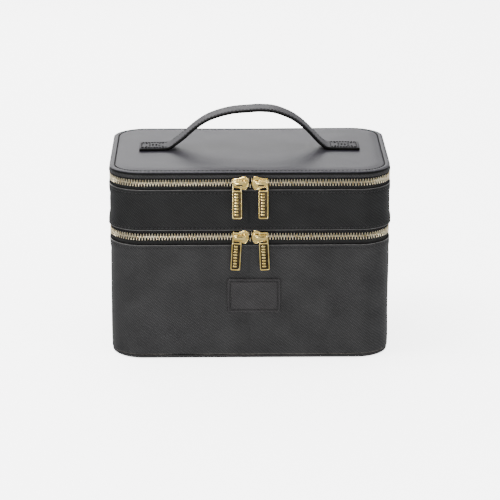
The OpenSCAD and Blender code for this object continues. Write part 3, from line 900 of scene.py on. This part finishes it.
def handle():
    line = strap_line()
    w, t = STRAP_W / 2, STRAP_T
    edge = [(0.35, 0), (0.05, 0.3), (0, t * 0.5), (0.08, t - 0.35), (0.45, t - 0.03), (1.6, t + 0.02),
            (2.3, t - 0.14), (3.0, t + 0.06), (w / 2, t + 0.14)]
    prof = [(d - w, h) for d, h in edge] + [(0, t + 0.18)]
    prof += [(w - d, h) for d, h in reversed(edge)] + [(0, -0.02)]
    k = len(prof)
    verts, uvs, faces, s = [], [], [], 0.0
    for i, (x, z, a) in enumerate(line):
        if i:
            s += math.dist((x, z), line[i - 1][:2])
        squeeze = 1 - 0.03 * math.sin(math.pi * i / len(line))
        for j, (y, h) in enumerate(prof):
            verts.append((x - h * math.sin(a), STRAP_Y + y * squeeze, z + h * math.cos(a)))
            uvs.append((s, y))
    n = len(line)
    for i in range(n - 1):
        for j in range(k):
            faces.append((i * k + j, i * k + (j + 1) % k, (i + 1) * k + (j + 1) % k, (i + 1) * k + j))
    faces += [tuple(range(k - 1, -1, -1)), tuple(range((n - 1) * k, n * k))]
    # strap in the lighter leather copy: painted sheen
    ob = make("handle_leather", verts, faces, strap_leather_painted_sheen, "lid", uvs, node="handle_strap")
    ob.data.materials.append(edge_paint)
    fix_normals(ob)
    for p in ob.data.polygons:
        ys = [abs(ob.data.vertices[v].co.y / M - STRAP_Y) for v in p.vertices]
        if min(ys) > w * 0.97 - 0.5 or len(p.vertices) > 4:
            p.material_index = 1
    seats, boxes = [], []
    # edge stitches at an even pitch, along the stretch between the sewn boxes
    dist, nxt = 0.0, 2.0
    for i in range(1, n):
        (x0, z0, a0), (x1, z1, a1) = line[i - 1], line[i]
        step = math.dist((x0, z0), (x1, z1))
        while dist + step > nxt:
            f = (nxt - dist) / step
            x, z, a = x0 + (x1 - x0) * f, z0 + (z1 - z0) * f, a0 + (a1 - a0) * f
            nxt += 3.3
            if abs(x) > 69:
                continue
            for y in (-w + 2.3, w - 2.3):
                h = t - 0.14
                seats.append(((x - h * math.sin(a), STRAP_Y + y * 0.985, z + h * math.cos(a)),
                              (math.cos(a), 0, math.sin(a)), (-math.sin(a), 0, math.cos(a))))
        dist += step
    # sewn boxes at both ends
    for m in (-1, 1):
        x0, x1, y0 = 76.5, 100.8, 9.3

        def seat(x, y, tx, ty):
            top = lid_z(m * x, STRAP_Y) + t + 0.2
            boxes.append(((m * x, STRAP_Y + y, top), (m * tx, ty, 0), (0, 0, 1)))

        for q in range(9):
            for y in (-y0, y0):
                seat(x0 + (x1 - x0) * (q + 0.5) / 9, y, 1, 0)
        for q in range(6):
            for x in (x0, x1):
                seat(x, -y0 + 2 * y0 * (q + 0.5) / 6, 0, 1)
        for q in range(8):
            f = (q + 0.5) / 8
            for k in (-1, 1):
                seat(x0 + (x1 - x0) * f, k * y0 * (2 * f - 1), x1 - x0, k * 2 * y0)
    stitches("handle_edge_stitches", seats, "lid", edge_paint, length=2.2, r=0.42)
    stitches("handle_box_stitches", boxes, "lid", edge_paint, length=2.2, r=0.55, lift=0.15)


handle()

# ---------- patch ----------

def patch():
    lo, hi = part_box("front_patch")
    x0, x1, z0, z1 = lo.x / M, hi.x / M, lo.z / M, hi.z / M
    cx, cz, w, h = (x0 + x1) / 2, (z0 + z1) / 2, (x1 - x0) / 2, (z1 - z0) / 2

    def loop(d):
        return rounded(x0 + d, x1 - d, z0 + d, z1 - d, max(2.6 - d, 0.4), 10)

    # (in from the edge, out from the wall): turned edge, stitched channel, raised middle
    depth = ((0.15, -0.2), (0.0, 0.9), (0.08, 1.35), (0.4, 1.85), (1.0, 2.15), (1.7, 2.1), (2.3, 1.7),
             (2.6, 1.4), (3.0, 1.4), (3.4, 1.75), (4.2, 2.05), (6, 2.15), (9, 2.2), (12, 2.2))
    verts, uvs, faces = [], [], []
    for d, y in depth:
        for x, z in loop(d):
            verts.append((x, -HY - y, z))
            uvs.append((x, z))
    k = len(loop(0))
    for i in range(len(depth) - 1):
        for j in range(k):
            faces.append((i * k + j, i * k + (j + 1) % k, (i + 1) * k + (j + 1) % k, (i + 1) * k + j))
    faces.append(tuple(range((len(depth) - 1) * k, len(depth) * k)))
    faces.append(tuple(range(k - 1, -1, -1)))
    ob = make("patch_leather", verts, faces, patch_leather, "lower_case", uvs, node="front_patch")
    fix_normals(ob)
    seats = []
    a, b = w - 2.8, h - 2.8
    for m in (-1, 1):
        for q in range(14):
            f = -a + 2 * a * (q + 0.5) / 14
            seats.append(((cx + f, -HY - 1.45, cz + m * b), (1, 0, 0), (0, -1, 0)))
        for q in range(9):
            f = -b + 2 * b * (q + 0.5) / 9
            seats.append(((cx + m * a, -HY - 1.45, cz + f), (0, 0, 1), (0, -1, 0)))
    stitches("patch_stitches", seats, "lower_case", thread, length=2.3, r=0.38)


patch()

# ---------- hinge strips ----------

def hinge_strip(name, node_name, lower_body, upper_body):
    """A soft leather strip across a zip's line, sewn along both long edges."""
    lo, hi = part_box(node_name)
    x0, x1, z0, z1 = lo.x / M + 0.2, hi.x / M - 0.2, lo.z / M, hi.z / M
    y0, y1 = lo.y / M, hi.y / M
    nx, nz = 60, 40
    verts, uvs = [], []
    for side in (0, 1):
        for i in range(nz + 1):
            for j in range(nx + 1):
                x, z = x0 + (x1 - x0) * j / nx, z0 + (z1 - z0) * i / nz
                edge = min(i, nz - i, j, nx - j)
                y = (y1 - (0.35 if edge == 0 else 0.1 if edge == 1 else 0)) if side else y0
                y += 0.1 * noise.noise(Vector((x / 25, z / 12, 2))) if side else 0
                verts.append((x, y, z))
                uvs.append((x, z))
    ob = make(name, verts, slab_faces(nx, nz), leather, None, uvs, node=node_name)
    fix_normals(ob)
    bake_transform(ob)
    for tag, z, body in (("_low", z0 + 2.0, lower_body), ("_high", z1 - 2.0, upper_body)):
        seats = [((x0 + (x1 - x0) * (i + 0.5) / 56, y1 + 0.02, z), (1, 0, 0), (0, 1, 0)) for i in range(56)]
        stitches(name + tag + "_stitches", seats, body, thread)


hinge_strip("tier_hinge_leather", "tier_hinge_strip", "lower_case", "upper_tier")
hinge_strip("lid_hinge_leather", "lid_hinge_strip", "upper_tier", "lid")

# ---------- inside ----------

def padded_divider(name, node_name):
    """A cloth-covered foam board with softened edges."""
    lo, hi = (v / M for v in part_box(node_name))
    long_x = hi.x - lo.x > hi.y - lo.y
    a0, a1 = (lo.x, hi.x) if long_x else (lo.y, hi.y)
    b0, b1 = (lo.y, hi.y) if long_x else (lo.x, hi.x)
    mid, half = (b0 + b1) / 2, (b1 - b0) / 2
    n, m = max(6, round((a1 - a0) / 6)), 16
    verts = []
    for side in (-1, 1):
        for i in range(m + 1):
            for j in range(n + 1):
                u, v = a0 + (a1 - a0) * j / n, lo.z + (hi.z - lo.z) * i / m
                e = min(u - a0, a1 - u, v - lo.z, hi.z - v)
                t = half * (0.55 + 0.45 * smooth(e / 5)) + 0.12 * noise.noise(Vector((u / 20, v / 20, side)))
                b = mid + side * min(t, half)
                verts.append((u, b, v) if long_x else (b, u, v))
    ob = make(name, verts, slab_faces(n, m), lining, "lower_case", node=node_name)
    fix_normals(ob)
    bevel(ob, 0.5, 2, 50)


for place in ("long", "front_left", "front_right", "rear"):
    padded_divider(place + "_pad", place + "_divider")


def mirror_surround():
    """Leather surround that laps a little over the glass."""
    lo, hi = (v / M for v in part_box("mirror_frame"))
    glass_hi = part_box("mirror_glass")[1] / M
    lap = 1.2
    x, y, gx, gy = hi.x, hi.y, glass_hi.x - lap, glass_hi.y - lap
    prof = ((0.0, hi.z), (0.0, lo.z + 0.5), (0.15, lo.z + 0.1), (0.5, lo.z), (0.85, lo.z + 0.1),
            (1.0, lo.z + 0.5), (1.0, hi.z))
    verts, uvs, faces = [], [], []
    for f, z in prof:
        half_x, half_y = x + (gx - x) * f, y + (gy - y) * f
        outline = rounded(-half_x, half_x, -half_y, half_y, 5 - 3 * f, 6)
        verts += [(px, py, z) for px, py in outline]
        uvs += outline
    k = len(verts) // len(prof)
    for i in range(len(prof)):
        for j in range(k):
            c, d = i * k, (i + 1) % len(prof) * k
            faces.append((c + j, c + (j + 1) % k, d + (j + 1) % k, d + j))
    ob = make("mirror_surround", verts, faces, leather, "lid", uvs, node="mirror_frame")
    fix_normals(ob)


mirror_surround()

# ---------- camera, light and floor ----------

# aimed at (x, 0, z) from dist away, with angles in degrees
CAM = dict(dist=2212, elev=17.21, yaw=0.78, roll=-0.019, x=0.92, z=79.8, lens=166.97)


def place_camera():
    e, yaw, roll = (math.radians(CAM[k]) for k in ("elev", "yaw", "roll"))
    fwd = Vector((math.sin(yaw) * math.cos(e), math.cos(yaw) * math.cos(e), -math.sin(e)))
    right = Vector((math.cos(yaw), -math.sin(yaw), 0))
    up = right.cross(fwd)
    r2 = right * math.cos(roll) + up * math.sin(roll)
    u2 = up * math.cos(roll) - right * math.sin(roll)
    pos = Vector((CAM["x"], 0, CAM["z"])) - fwd * CAM["dist"]
    data = bpy.data.cameras.new("camera")
    data.sensor_width = 36
    data.lens = CAM["lens"]
    data.clip_end = 20
    cam = bpy.data.objects.new("camera", data)
    bpy.context.scene.collection.objects.link(cam)
    rot = Matrix((r2, u2, -fwd)).transposed()
    cam.matrix_world = Matrix.Translation(pos * M) @ rot.to_4x4()
    bpy.context.scene.camera = cam


place_camera()


def area_light(name, loc, target, size, power, color=(1, 1, 1), size_y=None):
    data = bpy.data.lights.new(name, "AREA")
    data.energy, data.size, data.color = power, size, color
    if size_y:
        data.shape, data.size_y = "RECTANGLE", size_y
    ob = bpy.data.objects.new(name, data)
    bpy.context.scene.collection.objects.link(ob)
    ob.location = loc
    ob.rotation_euler = (Vector(target) - Vector(loc)).to_track_quat("-Z", "Y").to_euler()
    return ob


area_light("key", (-0.8, -0.2, 1.7), (0, 0, 0.1), 0.9, 40)
area_light("fill", (1.4, -0.9, 0.9), (0, 0, 0.1), 0.8, 10)
area_light("low_front", (-0.35, -1.5, 0.28), (0, 0, 0.1), 0.5, 9, (1, 0.98, 0.95), size_y=0.25)
area_light("back_soft", (-0.4, 1.6, 1.1), (0, 0, 0.15), 1.6, 26, size_y=0.9)

# a bright studio that falls away to darkness behind the camera
world = bpy.data.worlds.new("studio")
bpy.context.scene.world = world
world.use_nodes = True
nt = world.node_tree
back = nt.nodes["Background"]
back.inputs["Strength"].default_value = 1.6
direction = nt.nodes.new("ShaderNodeTexCoord").outputs["Generated"]
parts = nt.nodes.new("ShaderNodeSeparateXYZ")
nt.links.new(direction, parts.inputs[0])
height = math_node(nt, "MULTIPLY", parts.outputs["Z"], 0.45)
fade = nt.nodes.new("ShaderNodeValToRGB")
for pos, value in ((0.0, 0.5), (0.3, 0.34), (0.45, 0.2), (0.62, 0.7), (0.85, 1.0)):
    e = fade.color_ramp.elements.new(pos)
    e.color = (value, value, value * 1.01, 1)
fade.color_ramp.elements.remove(fade.color_ramp.elements[-1])
fade.color_ramp.elements.remove(fade.color_ramp.elements[0])
depth = math_node(nt, "MULTIPLY", math_node(nt, "ADD", parts.outputs["Y"], 1.0), 0.5)
nt.links.new(math_node(nt, "ADD", depth, height), fade.inputs["Fac"])
nt.links.new(fade.outputs[0], back.inputs["Color"])

bpy.ops.mesh.primitive_plane_add(size=40, location=(0, 0, -0.0005))
floor = bpy.context.active_object
floor.name = "floor"
fm, nt, b = material("pale_floor", (0.93, 0.93, 0.93), 0.75)
n, _ = vary(nt, b, surface(nt, False), (0.92, 0.92, 0.92), (0.94, 0.94, 0.94), 0.002, (0.7, 0.8))
b.inputs["Emission Color"].default_value = (1, 1, 1, 1)
b.inputs["Emission Strength"].default_value = 4.0
floor.data.materials.append(fm)
floor.visible_glossy = False
